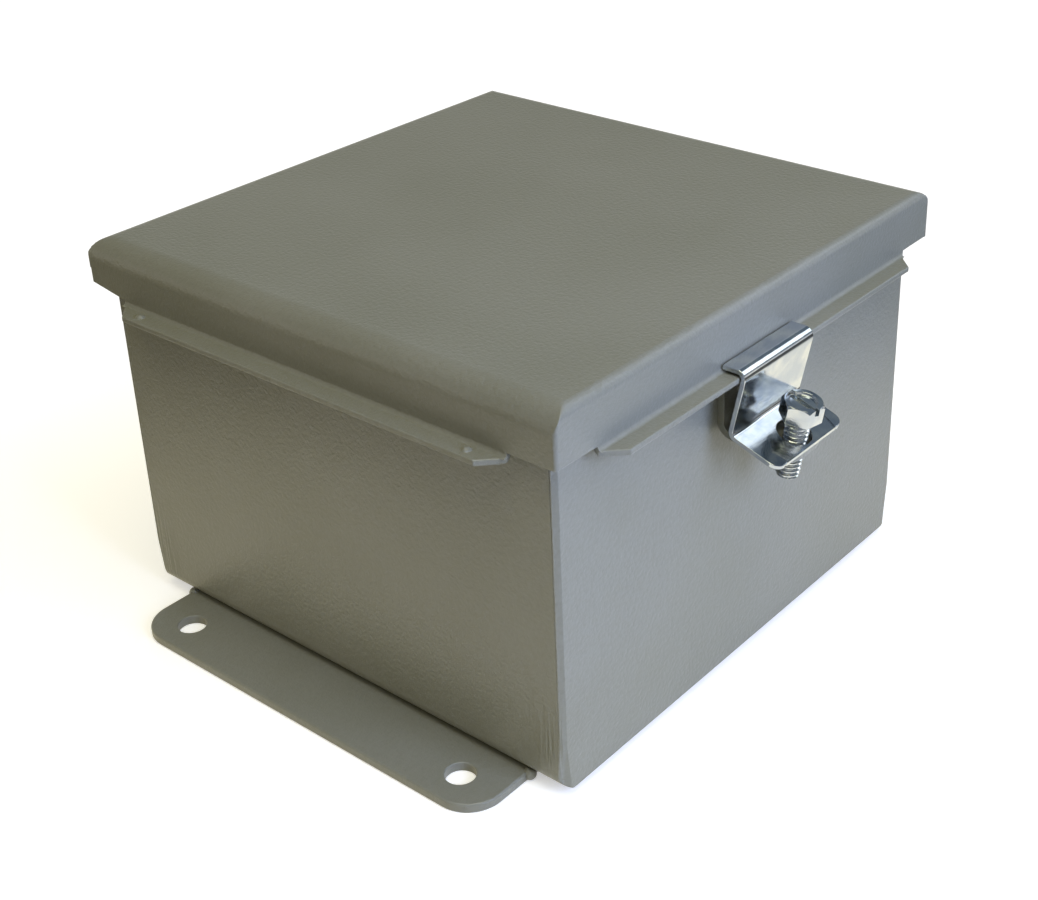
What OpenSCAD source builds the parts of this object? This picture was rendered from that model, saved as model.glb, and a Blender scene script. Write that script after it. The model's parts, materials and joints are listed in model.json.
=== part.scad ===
// Small wall-mounting junction box of folded sheet steel, lying on its back.
// The cover swings on a continuous hinge along the +Y wall and is held by a screw clamp on the -Y wall.
// Origin: middle of the four mounting holes, at the underside of the feet. +Z points out of the cover.

/* [Box] */
// Width over the two folded side walls, along X
box_w = 152.4; // [120:0.1:260]
// Length over the two welded end walls, along Y
box_l = 152.4; // [120:0.1:260]
// Depth from the outside of the back to the top edge of the walls
box_d = 101.6; // [70:0.1:200]
// Thickness of the box and cover sheet (16 gauge)
sheet_t = 1.52; // [1.2:0.01:2]
// Outside radius of the folds between the back and the side walls
bend_r = 3.4; // [2.6:0.1:6]
// Width of the flat ground along each welded corner, measured on one wall
seam_bevel = 1.2; // [0.4:0.1:1.4]
// The same flat at the bottom corner, where the grinder went further round
seam_flare = 2.6; // [1.5:0.1:2.8]
// Height over which the ground flat widens
seam_flare_h = 14; // [6:1:30]

/* [Mounting feet] */
// Thickness of the feet (12 gauge)
foot_t = 2.66; // [1.5:0.01:4]
// Length of a foot along the wall
foot_len = 127; // [112:1:150]
// Reach of a foot beyond the side wall
foot_reach = 19.05; // [16:0.05:26]
// Part of a foot that lies welded under the back
foot_under = 25.4; // [15:0.1:40]
// Radius of a foot's outer corners
foot_corner_r = 10; // [4:0.5:12]
// Diameter of the mounting holes
hole_d = 7.94; // [5:0.01:9]
// Distance of the mounting holes out from the side wall
hole_reach = 9.525; // [8:0.005:12]
// Distance between mounting holes along a foot, along Y
hole_span_y = 101.6; // [80:0.1:104]
// Radius of the weld bead at each end of a foot
weld_r = 1.7; // [1:0.1:2]

/* [Cover] */
// Distance from a wall's outside to the outside of the cover's rim
cover_over = 4.1; // [4:0.1:7]
// Height of the rim, from the top of the cover to the rim's lower edge
rim_depth = 14.2; // [13:0.1:20]
// Outside radius of the folds above the two side rims
side_fold_r = 5; // [2.5:0.1:6]
// Outside radius of the folds above the clamp rim and the hinge rim
end_fold_r = 2.6; // [2.2:0.1:5]
// Radius of the welded vertical corners
cover_corner_r = 1; // [0.4:0.1:1.2]
// Width of the turned-out lips beyond the rim
lip_w = 5.3; // [4:0.1:8]
// Inside radius of the fold at the root of a lip
lip_root_r = 1.2; // [0.8:0.1:2]
// Distance from the cover's corner to the end of a lip's root
lip_inset = 14; // [8:0.5:30]
// Size of the slanted cut at each end of a lip
lip_chamfer = 5.2; // [2:0.1:6]
// Radius of the side rims' lower corners beside the hinge
rim_corner_r = 5; // [2:0.5:8]
// Diameter of the small raised pips on the side lips
pip_d = 2.6; // [1.5:0.1:3]
// Height of the pips
pip_h = 0.8; // [0.4:0.1:1.2]
// Distance from the cover's corner to a pip
pip_inset = 23.5; // [20:0.5:40]

/* [Gasket] */
// Thickness of the gasket, pressed between the walls and the cover
gasket_t = 4.2; // [2:0.1:6]
// Width of the gasket strip
gasket_w = 13; // [6:0.5:20]

/* [Hinge] */
// Length of the continuous hinge
hinge_len = 140; // [90:1:150]
// Number of knuckles, shared between the two leaves
knuckles = 9; // [5:2:15]
// Diameter of the hinge pin
pin_d = 3.18; // [2.5:0.01:4]
// Thickness of the hinge leaves
leaf_t = 1.5; // [1:0.1:1.8]
// Height of the leaf on the wall, below the pin
body_leaf_h = 16; // [10:0.5:30]
// Height of the leaf inside the rim, above the rim's lower edge
cover_leaf_h = 7.5; // [5:0.1:8]

/* [Clamp] */
// Middle of the clamp along the wall
clamp_x = -4.6; // [-30:0.1:30]
// Width of the clamp
clamp_w = 30; // [24:0.5:40]
// Thickness of the clamp
clamp_t = 1.2; // [1:0.1:2]
// Inside radius of the clamp's folds
clamp_bend_r = 1.2; // [0.8:0.1:2]
// Lean of the clamp's plate, in degrees
plate_tilt = 12.5; // [8:0.5:16]
// Length of the plate, from the hook's underside to the shelf's underside
plate_len = 18.2; // [16:0.1:24]
// Fall of the shelf towards its outer edge, in degrees
shelf_slope = 19; // [15:0.5:22]
// Length of the shelf, along its underside
shelf_len = 15.3; // [14.5:0.1:20]
// Radius of the shelf's outer corners
shelf_corner_r = 3; // [2:0.5:8]
// Diameter of the screw's clearance hole in the shelf
shelf_hole_d = 9.2; // [8.8:0.1:9.4]
// Distance of that hole from the shelf's inner corner, along the underside
shelf_hole_at = 9.8; // [9.4:0.1:10]

/* [Bracket and screw] */
// Width of the bracket
bracket_w = 20; // [16:0.5:28]
// Thickness of the bracket
bracket_t = 1.9; // [1.5:0.1:2.5]
// Height of the bracket's leg on the wall
bracket_leg_h = 15; // [10:0.5:17]
// Inside radius of the bracket's fold
bracket_bend_r = 2; // [1:0.1:3]
// Radius of the tapped leg's outer corners
tongue_corner_r = 7; // [3:0.5:8]
// Metal left between the tapped hole and the leg's outer edge
tongue_edge = 1.4; // [0.8:0.1:1.6]
// Lean of the screw, in degrees
screw_tilt = 10.5; // [8:0.5:13]
// Diameter of the screw
thread_d = 6.35; // [5:0.01:7]
// Length of the screw below its head
screw_len = 17.2; // [16:0.05:25]
// Bevel at the tip of the screw
tip_bevel = 0.8; // [0.3:0.1:1.5]
// Thread that shows between the shelf and the slackened screw's head
head_gap = 5.4; // [4.5:0.1:9]
// Size of the hex head across its flats
head_af = 9.53; // [8:0.01:10]
// Height of the hex head
head_h = 5; // [3:0.1:6]
// Depth of the dish in the top of the head
dish_depth = 0.8; // [0.2:0.1:1.2]
// Width of the flat rim left round the dish, at the middle of the head's sides
dish_rim = 1.3; // [0.8:0.1:2]
// Angle at which the screw has come to rest, in degrees
screw_rest = 80; // [0:5:180]
// Width of the screwdriver slot
slot_w = 1.5; // [1:0.1:2]
// Depth of the screwdriver slot
slot_depth = 1.9; // [1:0.1:2.5]

/* [Panel studs] */
// Distance between the studs, both ways
stud_span = 107.95; // [80:0.05:115]
// Diameter of the studs
stud_d = 4.8; // [3:0.1:6]
// Height of the studs above their collars
stud_len = 9.5; // [6:0.5:20]
// Diameter of the collars
collar_d = 9.5; // [8:0.1:12]
// Height of the collars
collar_h = 6.4; // [3:0.1:10]

/* [Clearances] */
// Pin and screw in their holes, on the radius
turn_clear = 0.05; // [0.02:0.01:0.1]
// Between neighbouring knuckles, and between knuckles and the other leaf
knuckle_clear = 0.3; // [0.2:0.05:0.5]
// Between the hinge barrel and the wall, and between the barrel and the rim
barrel_clear = 0.3; // [0.2:0.05:0.6]
// Between the gasket's edge and the folds of the cover
gasket_clear = 0.3; // [0.2:0.05:0.6]
// Between the hook's underside and the lip
hook_clear = 0.9; // [0.4:0.05:0.95]
// Between the hook's tip and the rim
hook_tip_clear = 0.4; // [0.3:0.05:0.6]
// Between the lip's edge and the clamp's plate
plate_clear = 0.8; // [0.5:0.05:1.2]
// Between the shelf's underside and the edge of the tapped leg
shelf_clear = 0.3; // [0.2:0.05:0.5]
// Distance of the screw from the middle of its hole in the shelf
screw_off = 0.6; // [0.4:0.05:0.7]

/* [Hidden] */

$fn = 48;
paint = [0.46, 0.47, 0.42];
zinc = [0.74, 0.76, 0.77];
black_rubber = [0.12, 0.12, 0.12];
// Over-run of a cutting shape past the faces that it cuts
past = 1;

// Heights above the feet's underside
back_z = foot_t;
floor_z = back_z + sheet_t;
wall_top_z = back_z + box_d;
cover_in_z = wall_top_z + gasket_t;
cover_top_z = cover_in_z + sheet_t;
rim_z = cover_top_z - rim_depth;
lip_top_z = rim_z - lip_root_r;

// Half sizes of the cover
rim_x = box_w / 2 + cover_over;
rim_y = box_l / 2 + cover_over;

// Hinge axis
knuckle_r = pin_d / 2 + turn_clear + leaf_t;
hinge_y = box_l / 2 + barrel_clear + knuckle_r;
hinge_z = rim_z - barrel_clear - knuckle_r;
knuckle_pitch = hinge_len / knuckles;

// Clamp mechanism, in the plane across the clamp wall: [distance out from the wall, height]
function along(deg) = [cos(deg), sin(deg)];
function up_from(deg) = [-sin(deg), cos(deg)];
plate_dir = -90 - plate_tilt;
shelf_dir = -shelf_slope;
tongue_dir = -screw_tilt;
hook_tip = [cover_over + hook_tip_clear, lip_top_z + hook_clear];
hook_corner = [cover_over + lip_w + plate_clear, hook_tip[1]];
shelf_corner = hook_corner + plate_len * along(plate_dir);
hole_mid = shelf_corner + shelf_hole_at * along(shelf_dir) + clamp_t / 2 * up_from(shelf_dir);
screw_mid = hole_mid + screw_off * along(shelf_dir);
screw_dir = up_from(tongue_dir);
// The clamp rocks on the outer edge of the tapped leg
rock_at = shelf_hole_at + screw_off + thread_d / 2 + tongue_edge;
rock_edge = shelf_corner + rock_at * along(shelf_dir) - shelf_clear * up_from(shelf_dir);
tongue_root = [0, rock_edge[1] + rock_edge[0] * tan(screw_tilt) - bracket_t / cos(screw_tilt)];
tongue_len = (rock_edge - tongue_root) * along(tongue_dir);
tapped_at = (screw_mid - tongue_root) * along(tongue_dir);

// Folded strip: flat legs joined by round folds. The path follows the strip's right face, and a positive
// turn folds to the left. x runs along the first leg, y through the thickness, z across the width.
function fold_step(turn, t, r) =
    turn > 0 ? (r + t) * [sin(turn), 1 - cos(turn)] : r * [-sin(turn), cos(turn) - 1];
function leg_dir(turns, i) = i == 0 ? 0 : leg_dir(turns, i - 1) + turns[i - 1];
function turned(p, deg) = p[0] * along(deg) + p[1] * up_from(deg);
function leg_start(legs, turns, t, r, i) =
    i == 0 ? [0, 0] : leg_start(legs, turns, t, r, i - 1)
        + turned([legs[i - 1], 0] + fold_step(turns[i - 1], t, r), leg_dir(turns, i - 1));
// Length that a fold takes off a leg measured to the corner of the strip's right face
function fold_back(turn, t, r) = (turn > 0 ? r + t : r) * tan(abs(turn) / 2);

module on_leg(legs, turns, t, r, i) {
    translate(concat(leg_start(legs, turns, t, r, i), 0))
        rotate(leg_dir(turns, i))
            children();
}

module fold(turn, t, r, w) {
    translate([0, turn > 0 ? r + t : -r, -w / 2])
        rotate(turn > 0 ? -90 : 90 + turn)
            rotate_extrude(angle = abs(turn))
                translate([r, 0])
                    square([t, w]);
}

module folded(legs, turns, t, r, w) {
    for (i = [0 : len(legs) - 1])
        on_leg(legs, turns, t, r, i) {
            translate([0, 0, -w / 2])
                cube([legs[i], t, w]);
            if (i < len(turns))
                translate([legs[i], 0, 0])
                    fold(turns[i], t, r, w);
        }
}

// The same strip drawn as one outline, for folds at other than right angles
fold_steps = 12;
function fold_point(leg, turn, t, r, radius, deg) =
    [leg, turn > 0 ? r + t : -r] + sign(turn) * radius * [sin(deg), -cos(deg)];
function face_points(legs, turns, t, r, left) = [
    for (i = [0 : len(legs) - 1])
        let (
            start = leg_start(legs, turns, t, r, i),
            dir = leg_dir(turns, i),
            last = i == len(turns),
            turn = last ? 0 : turns[i],
            radius = left == (turn > 0) ? r : r + t,
            flat_ends = concat(i == 0 ? [0] : [], last ? [legs[i]] : []),
            fold_degs = last ? [] : [for (k = [0 : fold_steps]) turn * k / fold_steps])
        each concat(
            [for (x = flat_ends) start + turned([x, left ? t : 0], dir)],
            [for (deg = fold_degs) start + turned(fold_point(legs[i], turn, t, r, radius, deg), dir)])
];

module folded_at_angles(legs, turns, t, r, w) {
    right = face_points(legs, turns, t, r, false);
    left = face_points(legs, turns, t, r, true);
    linear_extrude(w, center = true)
        polygon(concat(right, [for (i = [len(left) - 1 : -1 : 0]) left[i]]));
}

// Stands a folded strip across the clamp wall: x outwards from the wall, y up
module across_clamp_wall(p, x = clamp_x) {
    translate([x, -box_l / 2 - p[0], p[1]])
        rotate([90, 0, -90])
            children();
}

// Takes the square corner off a sheet at the origin, which lies towards -x and -z
module corner_cut(r, t) {
    rotate([-90, 0, 0])
        translate([-r, 0, -past])
            linear_extrude(t + 2 * past)
                difference() {
                    square(r + past);
                    translate([0, r])
                        circle(r);
                }
}

// Rectangle on the origin's x axis with rounded lower corners
module round_bottom(w, h, r) {
    translate([-w / 2, r])
        square([w, h - r]);
    translate([r - w / 2, 0])
        square([w - 2 * r, r]);
    for (side = [-1, 1])
        translate([side * (w / 2 - r), r])
            circle(r);
}

module round_square(w, l, r) {
    square([w - 2 * r, l], center = true);
    square([w, l - 2 * r], center = true);
    for (x = [-1, 1], y = [-1, 1])
        translate([x * (w / 2 - r), y * (l / 2 - r)])
            circle(r);
}

// Flats ground along the welded corners, wider towards the bottom
module seam_cuts() {
    reach = box_d;
    flare_tilt = atan((seam_flare - seam_bevel) / sqrt(2) / seam_flare_h);
    for (x = [-1, 1], y = [-1, 1])
        translate([x * box_w / 2, y * box_l / 2, back_z])
            rotate(atan2(y, x))
                translate([-seam_bevel / sqrt(2), -reach / 2, seam_flare_h]) {
                    translate([0, 0, -reach])
                        cube([reach, reach, 3 * reach]);
                    rotate([0, flare_tilt, 0])
                        translate([0, 0, -reach])
                            cube([reach, reach, reach]);
                }
}

module wrap_sheet() {
    wall = box_d - bend_r;
    translate([-box_w / 2, 0, wall_top_z])
        rotate([90, 0, 0])
            rotate(-90)
                folded([wall, box_w - 2 * bend_r, wall], [90, 90], sheet_t, bend_r - sheet_t,
                    box_l - 2 * sheet_t);
}

module body_wrap() {
    color(paint)
        difference() {
            wrap_sheet();
            seam_cuts();
        }
}

// Flat wall that caps one end of the folded sheet
module end_wall(side) {
    color(paint)
        difference() {
            translate([0, side * (box_l - sheet_t) / 2, back_z])
                rotate([90, 0, 0])
                    linear_extrude(sheet_t, center = true)
                        round_bottom(box_w, box_d, bend_r);
            seam_cuts();
        }
}

module clamp_side_wall() {
    end_wall(-1);
}

module hinge_side_wall() {
    end_wall(1);
}

module foot_plan() {
    foot_w = foot_reach + foot_under;
    difference() {
        union() {
            translate([foot_reach - foot_w / 2, 0])
                round_square(foot_w, foot_len, foot_corner_r);
            translate([-foot_under, -foot_len / 2])
                square([foot_under, foot_len]);
        }
        for (y = [-1, 1])
            translate([hole_reach, y * hole_span_y / 2])
                circle(d = hole_d);
    }
}

module foot(side) {
    color(paint)
        translate([side * box_w / 2, 0, 0])
            rotate(side > 0 ? 0 : 180)
                linear_extrude(foot_t)
                    foot_plan();
}

module left_foot() {
    foot(-1);
}

module right_foot() {
    foot(1);
}

// Beads at the ends of the feet, where they meet the fold of the side wall
module foot_welds() {
    color(paint)
        for (x = [-1, 1], y = [-1, 1])
            difference() {
                translate([x * (box_w / 2 - bend_r / 2), y * foot_len / 2, weld_r])
                    sphere(weld_r);
                translate([x * box_w / 2 - box_w / 4, -foot_len / 2, -past])
                    cube([box_w / 2, foot_len, foot_t + past]);
                translate([0, 0, back_z])
                    rotate([90, 0, 0])
                        linear_extrude(box_l, center = true)
                            round_bottom(box_w, box_d, bend_r);
            }
}

module panel_studs() {
    color(zinc)
        for (x = [-1, 1], y = [-1, 1])
            translate([x * stud_span / 2, y * stud_span / 2, floor_z]) {
                cylinder(d = collar_d, h = collar_h);
                cylinder(d = stud_d, h = collar_h + stud_len);
            }
}

module clamp_bracket() {
    turn = 90 - screw_tilt;
    back = fold_back(turn, bracket_t, bracket_bend_r);
    legs = [bracket_leg_h, tongue_len - back];
    turns = [turn];
    color(paint)
        across_clamp_wall([0, tongue_root[1] + back + bracket_leg_h])
            rotate(-90)
                difference() {
                    folded_at_angles(legs, turns, bracket_t, bracket_bend_r, bracket_w);
                    on_leg(legs, turns, bracket_t, bracket_bend_r, 1) {
                        translate([tapped_at - back, -past, 0])
                            rotate([-90, 0, 0])
                                cylinder(d = thread_d + 2 * turn_clear, h = bracket_t + 2 * past);
                        for (z = [0, 1])
                            translate([legs[1], 0, 0])
                                mirror([0, 0, z])
                                    translate([0, 0, bracket_w / 2])
                                        corner_cut(tongue_corner_r, bracket_t);
                    }
                }
}

// One leaf: a flat with every second knuckle, from the first or the second, on tabs. The flat lies on face_y
// and runs from beside the barrel to end_z, and way is 1 for upwards and -1 for downwards.
module hinge_leaf(first, face_y, end_z, way) {
    near_z = hinge_z + way * (knuckle_r + knuckle_clear);
    tab_z = near_z + way * leaf_t;
    knuckle_len = knuckle_pitch - knuckle_clear;
    color(paint)
        difference() {
            union() {
                translate([-hinge_len / 2, face_y, min(near_z, end_z)])
                    cube([hinge_len, leaf_t, abs(end_z - near_z)]);
                for (i = [first : 2 : knuckles - 1])
                    translate([i * knuckle_pitch + (knuckle_clear - hinge_len) / 2, 0, 0]) {
                        translate([0, hinge_y, hinge_z])
                            rotate([0, 90, 0])
                                cylinder(r = knuckle_r, h = knuckle_len);
                        translate([0, face_y, min(hinge_z, tab_z)])
                            cube([knuckle_len, leaf_t, abs(tab_z - hinge_z)]);
                    }
            }
            translate([-hinge_len / 2 - past, hinge_y, hinge_z])
                rotate([0, 90, 0])
                    cylinder(d = pin_d + 2 * turn_clear, h = hinge_len + 2 * past);
        }
}

module hinge_body_leaf() {
    hinge_leaf(0, box_l / 2, hinge_z - body_leaf_h, -1);
}

module hinge_cover_leaf() {
    hinge_leaf(1, rim_y - sheet_t - leaf_t, rim_z + cover_leaf_h, 1);
}

module hinge_pin() {
    color(zinc)
        translate([0, hinge_y, hinge_z])
            rotate([0, 90, 0])
                cylinder(d = pin_d, h = hinge_len + 2 * pin_d / 4, center = true);
}

// Block with rounded folds along its four top edges
module pan_block(w, l, low_z, top_z, side_r, end_r) {
    h = top_z - low_z;
    translate([0, 0, top_z])
        intersection() {
            rotate([-90, 0, 0])
                linear_extrude(l, center = true)
                    round_bottom(w, h, side_r);
            rotate([-90, 0, 90])
                linear_extrude(w, center = true)
                    round_bottom(l, h, end_r);
        }
}

// Room inside the cover, narrowed by clear on each side
module cover_room(clear) {
    wall = sheet_t + clear;
    pan_block(2 * (rim_x - wall), 2 * (rim_y - wall), rim_z - past, cover_in_z,
        side_fold_r - sheet_t, end_fold_r - sheet_t);
}

// Lip turned out of the rim's lower edge, on the -Y side of a rim that is rim_at from the middle
module cover_lip(rim_at, half_len, pips) {
    legs = [lip_root_r, lip_w - lip_root_r];
    edge = rim_at + lip_w;
    difference() {
        translate([0, sheet_t - rim_at, rim_z + legs[0]])
            rotate([90, 0, -90])
                rotate(-90)
                    folded(legs, [90], sheet_t, lip_root_r, 2 * half_len);
        for (side = [-1, 1])
            translate([side * half_len, -edge, lip_top_z - sheet_t - past])
                rotate(45)
                    cube([sqrt(2) * lip_chamfer, sqrt(2) * lip_chamfer, 2 * (sheet_t + past)], center = true);
    }
    pip_r = (pip_h * pip_h + pip_d * pip_d / 4) / (2 * pip_h);
    if (pips)
        for (side = [-1, 1])
            translate([side * (half_len + lip_inset - pip_inset), -rim_at - lip_w / 2, lip_top_z])
                intersection() {
                    translate([0, 0, pip_h - pip_r])
                        sphere(pip_r);
                    translate([0, 0, pip_r - sheet_t / 2])
                        cube(2 * pip_r, center = true);
                }
}

module cover() {
    color(paint) {
        difference() {
            intersection() {
                pan_block(2 * rim_x, 2 * rim_y, rim_z, cover_top_z, side_fold_r, end_fold_r);
                translate([0, 0, rim_z])
                    linear_extrude(rim_depth)
                        round_square(2 * rim_x, 2 * rim_y, cover_corner_r);
            }
            cover_room(0);
            for (side = [0, 1])
                mirror([side, 0, 0])
                    translate([rim_x, rim_y, rim_z])
                        rotate(90)
                            mirror([0, 0, 1])
                                mirror([1, 0, 0])
                                    corner_cut(rim_corner_r, sheet_t);
        }
        cover_lip(rim_y, rim_x - lip_inset, false);
        rotate(-90)
            cover_lip(rim_x, rim_y - lip_inset, true);
        rotate(90)
            cover_lip(rim_x, rim_y - lip_inset, true);
    }
}

module cover_gasket() {
    color(black_rubber)
        intersection() {
            translate([0, 0, wall_top_z])
                linear_extrude(gasket_t)
                    difference() {
                        square([box_w, box_l], center = true);
                        square([box_w - 2 * gasket_w, box_l - 2 * gasket_w], center = true);
                    }
            cover_room(gasket_clear);
        }
}

module clamp() {
    turns = [plate_dir, shelf_dir - plate_dir];
    hook_back = fold_back(turns[0], clamp_t, clamp_bend_r);
    shelf_back = fold_back(turns[1], clamp_t, clamp_bend_r);
    legs = [hook_corner[0] - hook_tip[0] - hook_back, plate_len - hook_back - shelf_back,
        shelf_len - shelf_back];
    color(zinc)
        across_clamp_wall(hook_tip)
            difference() {
                folded_at_angles(legs, turns, clamp_t, clamp_bend_r, clamp_w);
                on_leg(legs, turns, clamp_t, clamp_bend_r, 2) {
                    translate([shelf_hole_at - shelf_back, -past, 0])
                        rotate([-90, 0, 0])
                            cylinder(d = shelf_hole_d, h = clamp_t + 2 * past);
                    for (z = [0, 1])
                        translate([legs[2], 0, 0])
                            mirror([0, 0, z])
                                translate([0, 0, clamp_w / 2])
                                    corner_cut(shelf_corner_r, clamp_t);
                }
            }
}

module clamp_screw() {
    corner_r = head_af / 2 / cos(30);
    shank_r = thread_d / 2;
    into_head = (head_h - slot_depth) / 2;
    color(zinc)
        across_clamp_wall(screw_mid + head_gap * screw_dir)
            rotate([-90, 0, tongue_dir]) {
                rotate_extrude()
                    polygon([[0, -screw_len], [shank_r - tip_bevel, -screw_len], [shank_r, tip_bevel - screw_len],
                        [shank_r, into_head], [0, into_head]]);
                rotate(screw_rest)
                    difference() {
                        intersection() {
                            cylinder(r = corner_r, h = head_h, $fn = 6);
                            translate([0, 0, -head_h])
                                cylinder(r1 = corner_r + 2 * head_h, r2 = head_af / 2, h = 2 * head_h);
                        }
                        translate([0, 0, head_h - dish_depth])
                            cylinder(r = head_af / 2 - dish_rim, h = head_h);
                        translate([-slot_w / 2, -corner_r, head_h - slot_depth])
                            cube([slot_w, 2 * corner_r, head_h]);
                    }
            }
}

body_wrap();
clamp_side_wall();
hinge_side_wall();
left_foot();
right_foot();
foot_welds();
panel_studs();
clamp_bracket();
hinge_body_leaf();
hinge_pin();
cover();
cover_gasket();
hinge_cover_leaf();
clamp();
clamp_screw();
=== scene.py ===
# %% [markdown]
# # A small hinged-cover junction box
#
# The box is a folded sheet-steel case under grey textured enamel, with a cover that swings on a continuous
# hinge and a bright zinc clamp that a slotted hex screw pulls down on the cover's lip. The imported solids
# give every size. This lesson dresses them: rounded paint edges, the enamel's skin, zinc plate and real
# screw threads.

import json
import math
from contextlib import contextmanager

import bmesh
import bpy
from mathutils import Matrix, Vector


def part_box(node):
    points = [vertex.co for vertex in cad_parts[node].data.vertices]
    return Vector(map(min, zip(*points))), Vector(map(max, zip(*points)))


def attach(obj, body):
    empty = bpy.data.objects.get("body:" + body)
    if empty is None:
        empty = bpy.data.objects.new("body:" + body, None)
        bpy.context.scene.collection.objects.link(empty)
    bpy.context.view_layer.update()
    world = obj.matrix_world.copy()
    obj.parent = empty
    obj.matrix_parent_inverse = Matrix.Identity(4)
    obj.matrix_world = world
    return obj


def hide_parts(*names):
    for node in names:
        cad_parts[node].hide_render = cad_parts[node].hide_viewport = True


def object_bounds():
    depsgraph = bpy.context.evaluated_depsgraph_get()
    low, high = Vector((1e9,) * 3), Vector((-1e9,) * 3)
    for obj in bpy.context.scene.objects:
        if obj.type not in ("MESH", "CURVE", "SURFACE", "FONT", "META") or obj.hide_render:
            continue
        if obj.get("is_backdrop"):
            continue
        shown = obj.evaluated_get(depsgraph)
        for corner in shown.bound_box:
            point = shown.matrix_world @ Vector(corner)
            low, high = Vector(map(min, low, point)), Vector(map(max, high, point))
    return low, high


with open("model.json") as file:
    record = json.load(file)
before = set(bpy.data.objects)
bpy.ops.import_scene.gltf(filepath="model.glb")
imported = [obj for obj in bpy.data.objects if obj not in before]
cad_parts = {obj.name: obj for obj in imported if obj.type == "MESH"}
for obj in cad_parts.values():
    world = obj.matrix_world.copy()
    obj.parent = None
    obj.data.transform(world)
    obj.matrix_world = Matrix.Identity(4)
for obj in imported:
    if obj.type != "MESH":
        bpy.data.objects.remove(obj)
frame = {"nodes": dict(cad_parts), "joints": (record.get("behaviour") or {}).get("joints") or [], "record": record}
nodes = frame["nodes"]
cad_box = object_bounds()
scene = bpy.context.scene
scene.view_settings.view_transform = "Standard"
MM = 0.001
print("solids:", ", ".join(sorted(nodes)))

# %% [markdown]
# ## The camera
#
# The place, direction and lens were found by fitting the box's known edges to the picture. Blender's camera
# looks along its own -Z with +Y up, so the fitted axes become the columns of its matrix. The lens follows
# from the focal length in pixels of a picture 1038 wide, and a small shift puts the box where the picture
# has it.

# %% Camera at the photograph's angle
PICTURE_WIDTH = 1038
FOCAL_PX = 1671.5
SENSOR_MM = 36
SHIFT = (-0.0659, -0.0867)
EYE = Vector((-310.87, -279.17, 276.72)) * MM
LOOK = Vector((0.68883, 0.56662, -0.45216)).normalized()
RIGHT = Vector((0.62695, -0.77878, -0.02082))
RIGHT = (RIGHT - LOOK * RIGHT.dot(LOOK)).normalized()


def make_camera():
    data = bpy.data.cameras.new("photo_camera")
    data.sensor_width = SENSOR_MM
    data.lens = SENSOR_MM * FOCAL_PX / PICTURE_WIDTH
    data.shift_x, data.shift_y = SHIFT
    data.clip_start = 0.01
    turn = Matrix((RIGHT, RIGHT.cross(LOOK), -LOOK)).transposed().to_4x4()
    camera = bpy.data.objects.new("photo_camera", data)
    camera.matrix_world = Matrix.Translation(EYE) @ turn
    scene.collection.objects.link(camera)
    scene.camera = camera
    return camera


camera = make_camera()
print("lens", round(camera.data.lens, 2), "mm")

# %% [markdown]
# ## Sums on sockets
#
# Node trees are easier to read as formulas. A Value wraps one output socket, and its operators add the Math
# nodes. Graph.node makes any other node from its type, its settings and the values or links of its inputs.
# The same two classes serve the finishes here and the geometry trees further on.


# %% A small language for node trees
class Value:
    def __init__(self, graph, socket):
        self.graph = graph
        self.socket = socket

    def math(self, operation, *others):
        fields = {0: self, **dict(enumerate(others, 1))}
        return self.graph.node("ShaderNodeMath", {"operation": operation}, fields)

    def __add__(self, other):
        return self.math("ADD", other)

    def __sub__(self, other):
        return self.math("SUBTRACT", other)

    def __mul__(self, other):
        return self.math("MULTIPLY", other)

    def __truediv__(self, other):
        return self.math("DIVIDE", other)

    __radd__ = __add__

    def __rsub__(self, other):
        return self.graph.node("ShaderNodeMath", {"operation": "SUBTRACT"}, {0: other, 1: self})

    def fraction(self):
        return self.math("FRACT")

    def size(self):
        return self.math("ABSOLUTE")

    def least(self, other):
        return self.math("MINIMUM", other)

    def most(self, other):
        return self.math("MAXIMUM", other)

    def between(self, low, high):
        fields = {"Value": self, "From Min": low, "From Max": high}
        return self.graph.node("ShaderNodeMapRange", {"interpolation_type": "SMOOTHSTEP"}, fields)


class Graph:
    def __init__(self, tree):
        self.tree = tree

    def node(self, kind, settings=None, fields=None, out=0):
        made = self.tree.nodes.new(kind)
        for key, value in (settings or {}).items():
            setattr(made, key, value)
        for key, value in (fields or {}).items():
            self.feed(made.inputs[key], value)
        return Value(self, made.outputs[out])

    def feed(self, socket, value):
        if isinstance(value, Value):
            self.tree.links.new(value.socket, socket)
        else:
            socket.default_value = value

    def blend(self, factor, first, second):
        made = self.tree.nodes.new("ShaderNodeMix")
        made.data_type = "RGBA"
        colours = [s for s in made.inputs if s.type == "RGBA"]
        self.feed(made.inputs[0], factor)
        self.feed(colours[0], first)
        self.feed(colours[1], second)
        return Value(self, [s for s in made.outputs if s.type == "RGBA"][0])

    def axes(self, vector):
        made = self.tree.nodes.new("ShaderNodeSeparateXYZ")
        self.feed(made.inputs[0], vector)
        return [Value(self, s) for s in made.outputs]


class Finish(Graph):
    def __init__(self, name):
        self.material = bpy.data.materials.new(name)
        self.material.use_nodes = True
        super().__init__(self.material.node_tree)
        self.shader = self.tree.nodes["Principled BSDF"]
        self.place = self.node("ShaderNodeTexCoord", out=3)

    def set(self, **fields):
        for key, value in fields.items():
            self.feed(self.shader.inputs[key.replace("_", " ")], value)

    def noise(self, grain_mm, detail, vector=None):
        fields = {"Vector": vector or self.place, "Scale": 1 / (grain_mm * MM), "Detail": detail}
        return self.node("ShaderNodeTexNoise", None, fields)

    def stretched(self, scale):
        return self.node("ShaderNodeVectorMath", {"operation": "MULTIPLY"}, {0: self.place, 1: scale})

    def bump(self, height, depth_mm, under=None):
        fields = {"Height": height, "Distance": depth_mm * MM}
        if under is not None:
            fields["Normal"] = under
        return self.node("ShaderNodeBump", None, fields)


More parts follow.
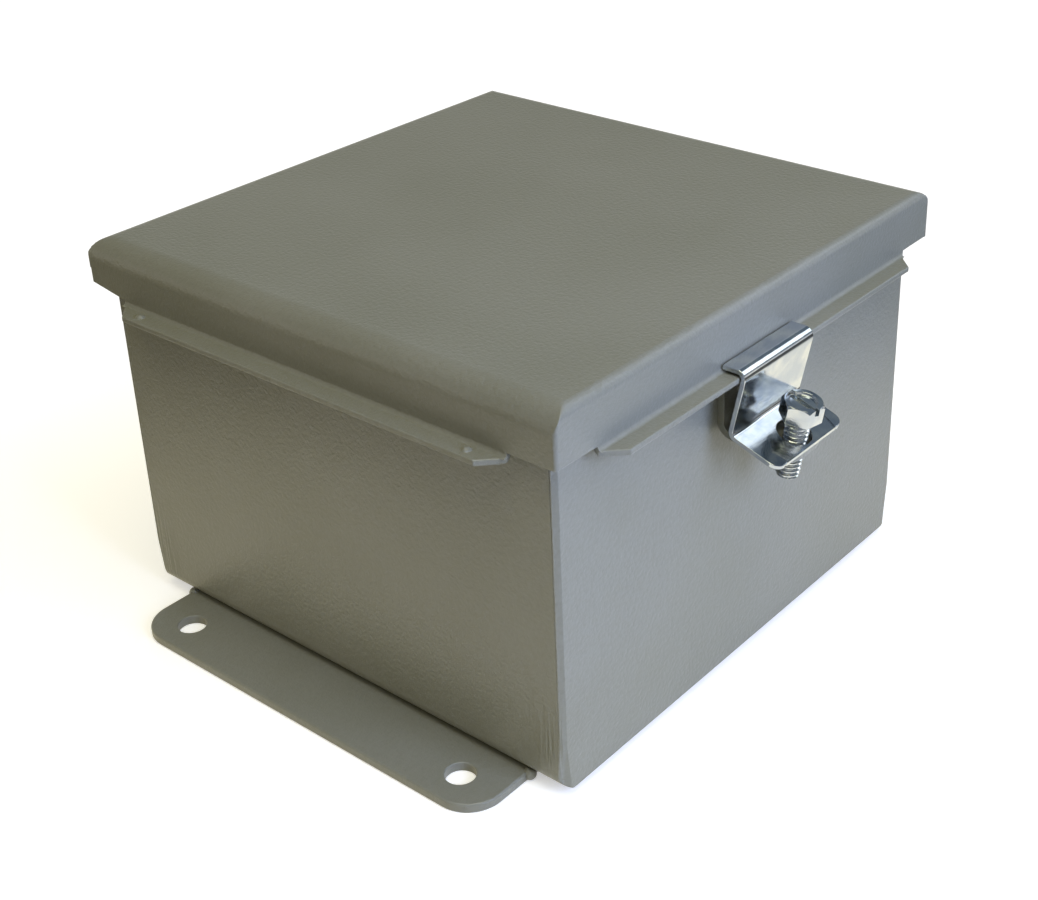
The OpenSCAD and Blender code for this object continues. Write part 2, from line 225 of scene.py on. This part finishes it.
def linear(red, green, blue):
    parts = [c / 255 for c in (red, green, blue)]
    return tuple(c / 12.92 if c <= 0.04045 else ((c + 0.055) / 1.055) ** 2.4 for c in parts) + (1,)


# %% [markdown]
# ## Grey textured enamel
#
# The paint is a baked grey enamel with a fine leathery skin. Up close it is a field of low bumps about a
# millimetre across, so two sizes of noise feed a Bump node. The colour only drifts a little over a hand's
# width, and the hollows of the skin are painted a little darker and warmer: painted shade. The edges, concave
# and convex alike, are painted pale: a painted highlight. A Bevel node averages the normal over a short reach,
# so where it parts from the true normal is an edge. The grinder's upright scratches show through the paint by
# the lower end of each welded seam.

# %% Enamel
BOX_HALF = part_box("clamp_side_wall")[1].x
WALL_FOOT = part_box("clamp_side_wall")[0].z
GREY, PALE_GREY = linear(126, 126, 113), linear(132, 132, 121)
# painted shade: the darker, warmer tone painted into the hollows of the skin
SHADED_HOLLOW_GREY = linear(109, 107, 93)
# painted highlight: the pale tone painted along the edges, and how far from an edge it reaches
EDGE_HIGHLIGHT_GREY = linear(190, 192, 184)
EDGE_HIGHLIGHT_REACH = 0.7 * MM


def seam_scratches(paint):
    x, y, z = paint.axes(paint.place)
    on_side = x.size().between(BOX_HALF - 1.2 * MM, BOX_HALF - 0.3 * MM)
    by_corner = y.size().between(BOX_HALF - 11 * MM, BOX_HALF - 4 * MM)
    low = 1 - (z - WALL_FOOT).between(8 * MM, 34 * MM)
    scratch = paint.noise(1.0, 2.0, paint.stretched((1, 1, 0.05)))
    return scratch * (on_side * by_corner * low)


# painted highlight: a mask of the edges, concave and convex, that are painted pale
def painted_edge_highlight(paint):
    averaged = paint.node("ShaderNodeBevel", {"samples": 6}, {"Radius": EDGE_HIGHLIGHT_REACH})
    normals = {0: averaged, 1: paint.node("ShaderNodeNewGeometry", out=1)}
    alike = paint.node("ShaderNodeVectorMath", {"operation": "DOT_PRODUCT"}, normals, out=1)
    return (1 - alike).between(0.02, 0.25)


def grey_enamel():
    paint = Finish("grey_enamel")
    skin = paint.noise(1.1, 2.0)
    fine = paint.noise(0.45, 1.0)
    drift = paint.noise(55, 2.0)
    # painted shade: a mask of the skin's hollows, which are painted darker
    shaded_hollow = 1 - skin.between(0.2, 0.7)
    # painted highlight along the edges
    edge = painted_edge_highlight(paint)
    tone = paint.blend(drift.between(0.3, 0.7), GREY, PALE_GREY)
    # painted shade in the skin's hollows
    tone = paint.blend(shaded_hollow * 0.22, tone, SHADED_HOLLOW_GREY)
    # painted highlight: the edges lightened in the base colour
    tone = paint.blend(edge * 0.30, tone, EDGE_HIGHLIGHT_GREY)
    ground = paint.bump(seam_scratches(paint), 0.7)
    paint.set(
        Base_Color=tone,
        Roughness=0.32 + (skin - 0.5) * 0.10 + (drift - 0.5) * 0.10 - edge * 0.08,
        IOR=1.5,
        Normal=paint.bump(skin * 0.7 + fine * 0.3, 0.21, ground),
    )
    return paint.material


enamel = grey_enamel()
print("made", enamel.name)

# %% [markdown]
# ## Zinc plate and rubber
#
# Bright zinc is a metal with a faint blue cast, soft clouding and fine rolling lines. The gasket is black
# sponge with an open, matt surface. Both are short formulas over noise.


# %% Zinc and rubber
def zinc_plate():
    zinc = Finish("zinc_plate")
    cloud = zinc.noise(6, 3.0)
    lines = zinc.noise(0.5, 2.0, zinc.stretched((0.12, 1, 1)))
    zinc.set(
        Base_Color=zinc.blend(cloud.between(0.35, 0.7), linear(186, 192, 200), linear(214, 216, 214)),
        Metallic=1.0,
        Roughness=0.13 + (cloud - 0.5) * 0.14 + (lines - 0.5) * 0.06,
        Normal=zinc.bump(lines, 0.008),
    )
    return zinc.material


def sponge_rubber():
    rubber = Finish("sponge_rubber")
    cells = rubber.node("ShaderNodeTexVoronoi", None, {"Vector": rubber.place, "Scale": 1 / (0.7 * MM)})
    rubber.set(
        Base_Color=rubber.blend(cells.between(0.1, 0.7), linear(30, 30, 31), linear(52, 52, 53)),
        Roughness=0.85 + (cells - 0.5) * 0.1,
        Normal=rubber.bump(cells, 0.12),
    )
    return rubber.material


zinc = zinc_plate()
rubber = sponge_rubber()
FINISH = {"paint": enamel, "zinc": zinc, "gasket": rubber}
slot_of = {s["node"]: s["material_slot"] for s in frame["record"]["subparts"]}
body_of = {n: b for b, names in frame["record"]["behaviour"]["bodies"].items() for n in names}
for name, solid in nodes.items():
    solid.data.materials.clear()
    solid.data.materials.append(FINISH[slot_of[name]])
print("finishes on", len(nodes), "solids")

# %% [markdown]
# ## Fuller folds
#
# Press and grinder leave fuller rounds on this box than the solids have: on the cover's sides and hinge edge,
# and under the box. Across a fold the sheet is a quarter circle, so every point near the edge can be drawn on
# to a larger circle. The sheet is cut into strips there first, to give the round enough points, and its inner
# face stays one sheet's thickness inside. Pushing points keeps the solid's own lips and holes, which a new
# shell would have to make again. The lower corners of the cover's side rims are rounded too, at the hinge end.

# %% Draw the folds on to larger circles
SHEET = 1.52 * MM
COVER_SIDE_FOLD = 6.2 * MM
COVER_HINGE_FOLD = 5.6 * MM
BOX_FOLD = 4.6 * MM
RIM_DEPTH = 14.2 * MM
RIM_CORNER = 5 * MM
ABOVE_LIPS = 9 * MM
TOUCH = 0.05 * MM
ON_PLANE = 0.02 * MM
FOLD_CUTS = [math.tan(math.radians(5 * k)) for k in range(9)]


def cut_strips(cut, axis, places, near):
    normal = Vector((0, 0, 0))
    normal[axis] = 1
    for place in places:
        faces = [f for f in cut.faces if any(near(v.co) for v in f.verts)]
        edges = {e for f in faces for e in f.edges}
        verts = {v for f in faces for v in f.verts}
        region = [*verts, *edges, *faces]
        point = normal * place
        bmesh.ops.bisect_plane(cut, geom=region, dist=ON_PLANE, plane_co=point, plane_no=normal)


# The fold runs along the edge at side * edge on the given axis and at level in z. It opens up (out 1) or
# down (out -1), and a sheet of 0 has no inner face to keep.
def fuller_fold(cut, axis, side, edge, level, out, radius, sheet):
    def near(place):
        return edge - side * place[axis] < radius and out * (level - place.z) < radius

    cut_strips(cut, axis, [side * (edge - radius * (1 - t)) for t in FOLD_CUTS], near)
    cut_strips(cut, 2, [level - out * radius * (1 - t) for t in FOLD_CUTS], near)
    cut.normal_update()
    outward = Vector((0, 0, out))
    outward[axis] = side
    for vert in cut.verts:
        across = radius - (edge - side * vert.co[axis])
        up = radius - out * (level - vert.co.z)
        skin = radius if vert.normal.dot(outward) > 0 else radius - sheet
        reach = math.hypot(across, up)
        if across > 0 and up > 0 and reach > skin:
            vert.co[axis] = side * (edge - radius + across * skin / reach)
            vert.co.z = level - out * (radius - up * skin / reach)


def round_rim_corners(cut, top, rim):
    for vert in cut.verts:
        inset = rim - vert.co.y
        on_low_edge = abs(vert.co.z - top + RIM_DEPTH) < TOUCH
        on_side_rim = abs(vert.co.x) > rim - SHEET - TOUCH
        if on_low_edge and on_side_rim and inset < RIM_CORNER:
            vert.co.z += RIM_CORNER - math.sqrt(RIM_CORNER ** 2 - (RIM_CORNER - inset) ** 2)


def full_cover(cut):
    top = max(v.co.z for v in cut.verts)
    rim = max(v.co.x for v in cut.verts if v.co.z > top - ABOVE_LIPS)
    for side in (-1, 1):
        fuller_fold(cut, 0, side, rim, top, 1, COVER_SIDE_FOLD, SHEET)
    fuller_fold(cut, 1, 1, rim, top, 1, COVER_HINGE_FOLD, SHEET)
    round_rim_corners(cut, top, rim)


def full_box(cut, sheet):
    for side in (-1, 1):
        fuller_fold(cut, 0, side, BOX_HALF, WALL_FOOT, -1, BOX_FOLD, sheet)


FULLER = {
    "cover": full_cover,
    "body_wrap": lambda cut: full_box(cut, SHEET),
    "clamp_side_wall": lambda cut: full_box(cut, 0),
    "hinge_side_wall": lambda cut: full_box(cut, 0),
}
print("fuller folds for", ", ".join(FULLER))

# %% [markdown]
# ## Edges under paint
#
# No sheet-metal edge is as sharp as a solid's. Paint pulls back from an edge and leaves a small round that
# catches the light. A Bevel modifier makes it, on a merged copy of each solid that stands for the solid, and
# a Weighted Normal modifier keeps the flats flat. The modifier could clamp itself, but then one short edge
# narrows every round on the piece, so each edge has a weight of its own: as wide as its shortest neighbour
# leaves room for.

# %% Rounded copies of the sheet pieces
SAME_POINT = 0.002 * MM
NEAR_POINT = 0.03 * MM
SLIVER = 0.02 * MM
WELD = 0.01 * MM
FLAT = math.radians(0.5)
CREASE = math.radians(32)
ROOM_SHARE = 0.45
LEAST_ROUND = 0.04 * MM
SHEET_SHARP = math.radians(50)
THREAD_SHARP = math.radians(40)


@contextmanager
def editing(mesh):
    cut = bmesh.new()
    cut.from_mesh(mesh)
    yield cut
    cut.to_mesh(mesh)
    cut.free()


def settle(piece, body, slot):
    piece.data.materials.clear()
    piece.data.materials.append(FINISH[slot])
    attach(piece, body)
    return piece


def plain_mesh(piece):
    ready = piece.evaluated_get(bpy.context.evaluated_depsgraph_get())
    mesh = bpy.data.meshes.new_from_object(ready)
    piece.modifiers.clear()
    piece.data = mesh
    mesh.name = piece.name
    return piece


def smooth(mesh, sharp):
    for face in mesh.polygons:
        face.use_smooth = True
    mesh.set_sharp_from_angle(angle=sharp)


def merged_copy(node, name):
    mesh = nodes[node].data.copy()
    with editing(mesh) as cut:
        bmesh.ops.remove_doubles(cut, verts=cut.verts, dist=SAME_POINT)
        bmesh.ops.dissolve_limit(cut, angle_limit=FLAT, verts=cut.verts, edges=cut.edges)
        if node in FULLER:
            FULLER[node](cut)
            bmesh.ops.remove_doubles(cut, verts=cut.verts, dist=NEAR_POINT)
            bmesh.ops.dissolve_degenerate(cut, edges=cut.edges, dist=SLIVER)
    piece = bpy.data.objects.new(name, mesh)
    scene.collection.objects.link(piece)
    return piece


def weigh_edges(mesh, width):
    with editing(mesh) as cut:
        weight = cut.edges.layers.float.new("bevel_weight_edge")
        for edge in cut.edges:
            if len(edge.link_faces) == 2 and edge.calc_face_angle() > CREASE:
                room = min(e.calc_length() for v in edge.verts for e in v.link_edges)
                share = min(1, ROOM_SHARE * room / width)
                edge[weight] = share if share * width > LEAST_ROUND else 0


def round_edges(piece, round_mm):
    width = round_mm * MM
    weigh_edges(piece.data, width)
    bevel = piece.modifiers.new("round", "BEVEL")
    bevel.width = width
    bevel.segments = 2
    bevel.limit_method = "WEIGHT"
    bevel.use_clamp_overlap = False
    piece.modifiers.new("closed", "WELD").merge_threshold = WELD
    smooth(piece.data, SHEET_SHARP)
    piece.modifiers.new("flats", "WEIGHTED_NORMAL").keep_sharp = True
    return plain_mesh(piece)


EDGE_MM = {
    "cover": 0.36,
    "clamp_side_wall": 0.15,
    "hinge_side_wall": 0.15,
    "body_wrap": 0.2,
    "left_foot": 0.45,
    "right_foot": 0.45,
    "foot_welds": 0.1,
    "clamp_bracket": 0.3,
    "clamp": 0.22,
    "hinge_body_leaf": 0.15,
    "hinge_cover_leaf": 0.15,
}
for name, edge in EDGE_MM.items():
    piece = round_edges(merged_copy(name, name + "_dressed"), edge)
    settle(piece, body_of[name], slot_of[name])
    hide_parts(name)
    print(name, len(piece.data.polygons), "faces")

# %% [markdown]
# ## Threads
#
# A screw thread follows a rule: at each height and angle the radius is a saw-tooth of (height / pitch -
# turn). A Geometry Nodes tree bends a plain rod that way, so one tree serves the clamp screw and the panel
# studs. Its named inputs are the rod's sizes and the finish. The first and last helpers open and close any
# such tree.

# %% The threaded-rod tree
ROD_POINTS = 40


def open_tree(name, lengths, counts=()):
    tree = bpy.data.node_groups.new(name, "GeometryNodeTree")
    kinds = {**dict.fromkeys(lengths, "Float"), **dict.fromkeys(counts, "Int"), "Finish": "Material"}
    for label, kind in kinds.items():
        tree.interface.new_socket(label, in_out="INPUT", socket_type="NodeSocket" + kind)
    tree.interface.new_socket("Geometry", in_out="OUTPUT", socket_type="NodeSocketGeometry")
    graph = Graph(tree)
    given = tree.nodes.new("NodeGroupInput")
    return graph, {s.name: Value(graph, s) for s in given.outputs}


def close_tree(graph, shape, finish):
    shape = graph.node("GeometryNodeRealizeInstances", None, {"Geometry": shape})
    shape = graph.node("GeometryNodeSetMaterial", None, {"Geometry": shape, "Material": finish})
    graph.feed(graph.tree.nodes.new("NodeGroupOutput").inputs[0], shape)
    return graph.tree


def rod_tree():
    graph, size = open_tree("threaded_rod", ["Radius", "Length", "Pitch", "Depth"], ["Rings"])
    plain = {"Vertices": ROD_POINTS, "Side Segments": size["Rings"]}
    plain |= {"Radius": size["Radius"], "Depth": size["Length"]}
    rod = graph.node("GeometryNodeMeshCylinder", None, plain)
    x, y, z = graph.axes(graph.node("GeometryNodeInputPosition"))
    turn = y.math("ARCTAN2", x) / (2 * math.pi)
    tooth = ((z / size["Pitch"] - turn).fraction() * 2 - 1).size()
    groove = (tooth * 1.5 - 0.25).most(0).least(1) * size["Depth"]
    end = (size["Length"] * 0.5 - z.size()).most(0)
    groove = groove.most(size["Depth"] * 0.9 - end)
    shrink = 1 - groove / size["Radius"]
    bent = graph.node("ShaderNodeCombineXYZ", None, {0: x * shrink, 1: y * shrink, 2: z})
    rod = graph.node("GeometryNodeSetPosition", None, {"Geometry": rod, "Position": bent})
    return close_tree(graph, rod, size["Finish"])


def grown(name, tree, sizes):
    piece = bpy.data.objects.new(name, bpy.data.meshes.new(name))
    scene.collection.objects.link(piece)
    made = piece.modifiers.new("grown", "NODES")
    made.node_group = tree
    for item in tree.interface.items_tree:
        if item.in_out == "INPUT":
            made[item.identifier] = sizes[item.name]
    return plain_mesh(piece)


THREAD = rod_tree()
print("tree", THREAD.name, "has", len(THREAD.nodes), "nodes")

# %% [markdown]
# ## The clamp screw
#
# The screw's axis comes from its joint, and its ends and the underside of its head from the solid. The head
# is the solid's own hex head with its slot and dished top: the copy is cut through at the head's underside,
# and the threaded rod takes the place of the plain shank.

# %% Screw head and thread
HEAD_EDGE_MM = 0.18
SCREW_RADIUS = 3.17 * MM
SCREW_PITCH = 1.27 * MM
SCREW_DEPTH = 0.66 * MM
SCREW_RINGS = 190
BEYOND_SHANK = 4 * MM
INTO_HEAD = 0.3 * MM
HEAD_CUT = 0.02 * MM

joint = {j["name"]: j for j in frame["joints"]}
screw_axis = Vector(joint["screw_turn"]["axis"]).normalized()
screw_point = Vector(joint["screw_turn"]["pos_m"])
from_point = [v.co - screw_point for v in nodes["clamp_screw"].data.vertices]
along = [p.dot(screw_axis) for p in from_point]
SCREW_TIP, SCREW_TOP = min(along), max(along)
UNDER_HEAD = min(a for a, p in zip(along, from_point) if (p - screw_axis * a).length > BEYOND_SHANK)
upright = Vector((0, 0, 1)).rotation_difference(screw_axis).to_matrix().to_4x4()
print("screw from", round(SCREW_TIP / MM, 2), "to", round(SCREW_TOP / MM, 2), "mm along its axis")


def screw_head():
    head = merged_copy("clamp_screw", "screw_head")
    with editing(head.data) as cut:
        whole = cut.verts[:] + cut.edges[:] + cut.faces[:]
        plane = screw_point + screw_axis * (UNDER_HEAD - HEAD_CUT)
        found = bmesh.ops.bisect_plane(cut, geom=whole, plane_co=plane, plane_no=screw_axis, clear_inner=True)
        rim = [e for e in found["geom_cut"] if isinstance(e, bmesh.types.BMEdge)]
        bmesh.ops.edgeloop_fill(cut, edges=rim)
    return round_edges(head, HEAD_EDGE_MM)


def screw_thread():
    length = UNDER_HEAD - SCREW_TIP + INTO_HEAD
    sizes = {
        "Radius": SCREW_RADIUS,
        "Length": length,
        "Pitch": SCREW_PITCH,
        "Depth": SCREW_DEPTH,
        "Rings": SCREW_RINGS,
        "Finish": zinc,
    }
    rod = grown("screw_thread", THREAD, sizes)
    middle = screw_point + screw_axis * (SCREW_TIP + length / 2)
    rod.data.transform(Matrix.Translation(middle) @ upright)
    smooth(rod.data, THREAD_SHARP)
    return rod


head = settle(screw_head(), "screw", "zinc")
thread = settle(screw_thread(), "screw", "zinc")
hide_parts("clamp_screw")
print("screw thread", len(thread.data.polygons), "faces")

# %% [markdown]
# ## The panel studs
#
# Four weld studs stand on the floor of the box and carry a mounting panel. Each is a plain collar under a
# short thread. The four places are the corners of a two by two grid, so one tree puts the same stud on every
# point of that grid. The threaded-rod tree is a group node inside it, which saves building the thread again.

# %% A tree that sets studs on a grid
COLLAR_RADIUS = 4.75 * MM
COLLAR_HEIGHT = 6.4 * MM
COLLAR_POINTS = 48
STUD_RADIUS = 2.4 * MM
STUD_PITCH = 0.8 * MM
STUD_DEPTH = 0.42 * MM
STUD_RINGS = 150


def stud_tree():
    lengths = ["Span", "Collar Radius", "Collar Height", "Stud Radius", "Stud Height"]
    graph, size = open_tree("stud_set", lengths)
    plain = {"Vertices": COLLAR_POINTS, "Radius": size["Collar Radius"], "Depth": size["Collar Height"]}
    collar = graph.node("GeometryNodeMeshCylinder", None, plain)
    cut_rod = {"Pitch": STUD_PITCH, "Depth": STUD_DEPTH, "Rings": STUD_RINGS, "Finish": size["Finish"]}
    cut_rod |= {"Radius": size["Stud Radius"], "Length": size["Stud Height"]}
    rod = graph.node("GeometryNodeGroup", {"node_tree": THREAD}, cut_rod)
    lift = (size["Collar Height"] + size["Stud Height"]) * 0.5
    place = graph.node("ShaderNodeCombineXYZ", None, {2: lift})
    rod = graph.node("GeometryNodeTransform", None, {"Geometry": rod, "Translation": place})
    both = graph.tree.nodes.new("GeometryNodeJoinGeometry")
    for part in (collar, rod):
        graph.feed(both.inputs[0], part)
    stud = Value(graph, both.outputs[0])
    square = {"Size X": size["Span"], "Size Y": size["Span"], "Vertices X": 2, "Vertices Y": 2}
    corners = graph.node("GeometryNodeMeshGrid", None, square)
    studs = graph.node("GeometryNodeInstanceOnPoints", None, {"Points": corners, "Instance": stud})
    return close_tree(graph, studs, size["Finish"])


def panel_studs():
    low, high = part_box("panel_studs")
    sizes = {
        "Span": high.x - low.x - 2 * COLLAR_RADIUS,
        "Collar Radius": COLLAR_RADIUS,
        "Collar Height": COLLAR_HEIGHT,
        "Stud Radius": STUD_RADIUS,
        "Stud Height": high.z - low.z - COLLAR_HEIGHT,
        "Finish": zinc,
    }
    studs = grown("panel_stud_threads", stud_tree(), sizes)
    studs.data.transform(Matrix.Translation((0, 0, low.z + COLLAR_HEIGHT / 2)))
    smooth(studs.data, THREAD_SHARP)
    return studs


studs = settle(panel_studs(), "box", "zinc")
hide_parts("panel_studs")
print("panel studs", len(studs.data.polygons), "faces")

# %% [markdown]
# ## The stage
#
# The picture is a plain cut-out on white. The box stands on a sheet of warm white paper whose glow fills the
# walls from below, and the floor beyond it only looks white, to the camera. A cool window lights the clamp
# wall and a warm soft box the cover. A small warm lamp lifts the far end of the left wall, a long low one the
# two walls behind, and a distant strip draws a line of light along the folds. The ceiling that the metal
# mirrors is dim. Lamps whose image would lie on the cover or the zinc aren't mirrored.

# %% Floor, sky and lamps
WHITE = (1, 1, 1, 1)
FLOOR_HALF = 4
FLOOR_DROP = 0.05 * MM
FLOOR_GREY = (0.15, 0.15, 0.15, 1)
PAPER_MIDDLE = (-0.03, -0.05, 0)
PAPER_FADE = (0.17, 0.30)
PAPER_WARM, PAPER_SEEN = (0.85, 0.82, 0.70, 1), (0.84, 0.83, 0.80, 1)
PAPER_GLOW = (1, 0.93, 0.76, 1)
SKY_FILL, SKY_STRENGTH = (1.0, 0.92, 0.70, 1), 0.22
CEILING = (0.16, 0.20, 0.24, 1)


def seen_rays(graph):
    rays = graph.tree.nodes.new("ShaderNodeLightPath")
    kinds = ("Camera", "Glossy", "Transmission")
    camera_ray, glossy, through = [Value(graph, rays.outputs["Is " + kind + " Ray"]) for kind in kinds]
    return camera_ray, camera_ray.most(glossy).most(through)


def floor_finish():
    pale = Finish("white_floor")
    ends = {0: pale.place, 1: PAPER_MIDDLE}
    away = pale.node("ShaderNodeVectorMath", {"operation": "DISTANCE"}, ends, out=1)
    sheet = 1 - away.between(*PAPER_FADE)
    camera_ray, seen = seen_rays(pale)
    paper = pale.blend(camera_ray, PAPER_WARM, PAPER_SEEN)
    pale.set(
        Base_Color=pale.blend(sheet, FLOOR_GREY, paper),
        Roughness=0.9,
        Specular_IOR_Level=0.0,
        Emission_Color=pale.blend(camera_ray, PAPER_GLOW, WHITE),
        Emission_Strength=seen * sheet * 0.36 + camera_ray * (1 - sheet * 0.9),
    )
    return pale.material


def make_floor():
    mesh = bpy.data.meshes.new("floor")
    signs = ((-1, -1), (1, -1), (1, 1), (-1, 1))
    mesh.from_pydata([(x * FLOOR_HALF, y * FLOOR_HALF, 0) for x, y in signs], [], [(0, 1, 2, 3)])
    mesh.materials.append(floor_finish())
    floor = bpy.data.objects.new("floor", mesh)
    floor.location.z = -FLOOR_DROP
    scene.collection.objects.link(floor)
    floor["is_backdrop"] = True


def make_sky():
    world = bpy.data.worlds.new("studio")
    world.use_nodes = True
    scene.world = world
    sky = Graph(world.node_tree)
    camera_ray, seen = seen_rays(sky)
    height = sky.axes(sky.node("ShaderNodeTexCoord"))[2]
    room = sky.blend(height.between(0.02, 0.28) * (1 - camera_ray), WHITE, CEILING)
    background = world.node_tree.nodes["Background"]
    sky.feed(background.inputs["Color"], sky.blend(seen, SKY_FILL, room))
    sky.feed(background.inputs["Strength"], SKY_STRENGTH + seen * (1 - SKY_STRENGTH))


def make_lamp(name, place, aim, size, power, colour, mirrored):
    data = bpy.data.lights.new(name, "AREA")
    data.shape = "RECTANGLE"
    data.size, data.size_y = size
    data.energy = power
    data.color = colour
    lamp = bpy.data.objects.new(name, data)
    lamp.location = place
    lamp.rotation_euler = (Vector(aim) - Vector(place)).to_track_quat("-Z", "Y").to_euler()
    lamp.visible_glossy = mirrored
    scene.collection.objects.link(lamp)


make_floor()
make_sky()
make_lamp(
    "right_window", place=(-0.075, -0.46, 0.24), aim=(-0.06, -0.07, 0.05), size=(0.22, 0.3),
    power=2.6, colour=(0.47, 0.59, 1.0), mirrored=False,
)
make_lamp(
    "side_strip", place=(0.90, -0.58, 0.72), aim=(0, 0, 0.1), size=(0.5, 0.5),
    power=1.8, colour=(0.85, 0.92, 1.0), mirrored=True,
)
make_lamp(
    "top_softbox", place=(-0.31, -0.24, 1.22), aim=(0, 0, 0.1), size=(0.9, 0.9),
    power=7.5, colour=(1.0, 0.95, 0.65), mirrored=True,
)
make_lamp(
    "left_fill", place=(-0.55, 0.55, 0.14), aim=(-0.07, 0.04, 0.06), size=(0.3, 0.2),
    power=0.65, colour=(1.0, 0.84, 0.60), mirrored=False,
)
make_lamp(
    "rear_fill", place=(1.0, 1.05, 0.20), aim=(0, 0, 0.06), size=(1.4, 0.4),
    power=14, colour=(0.96, 0.97, 0.92), mirrored=False,
)
print("stage ready")

# %% The sizes after the dressing
new_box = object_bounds()
growth = [round((b - a) / MM, 2) for a, b in zip(cad_box[1] - cad_box[0], new_box[1] - new_box[0])]
print("grown by", growth, "mm")
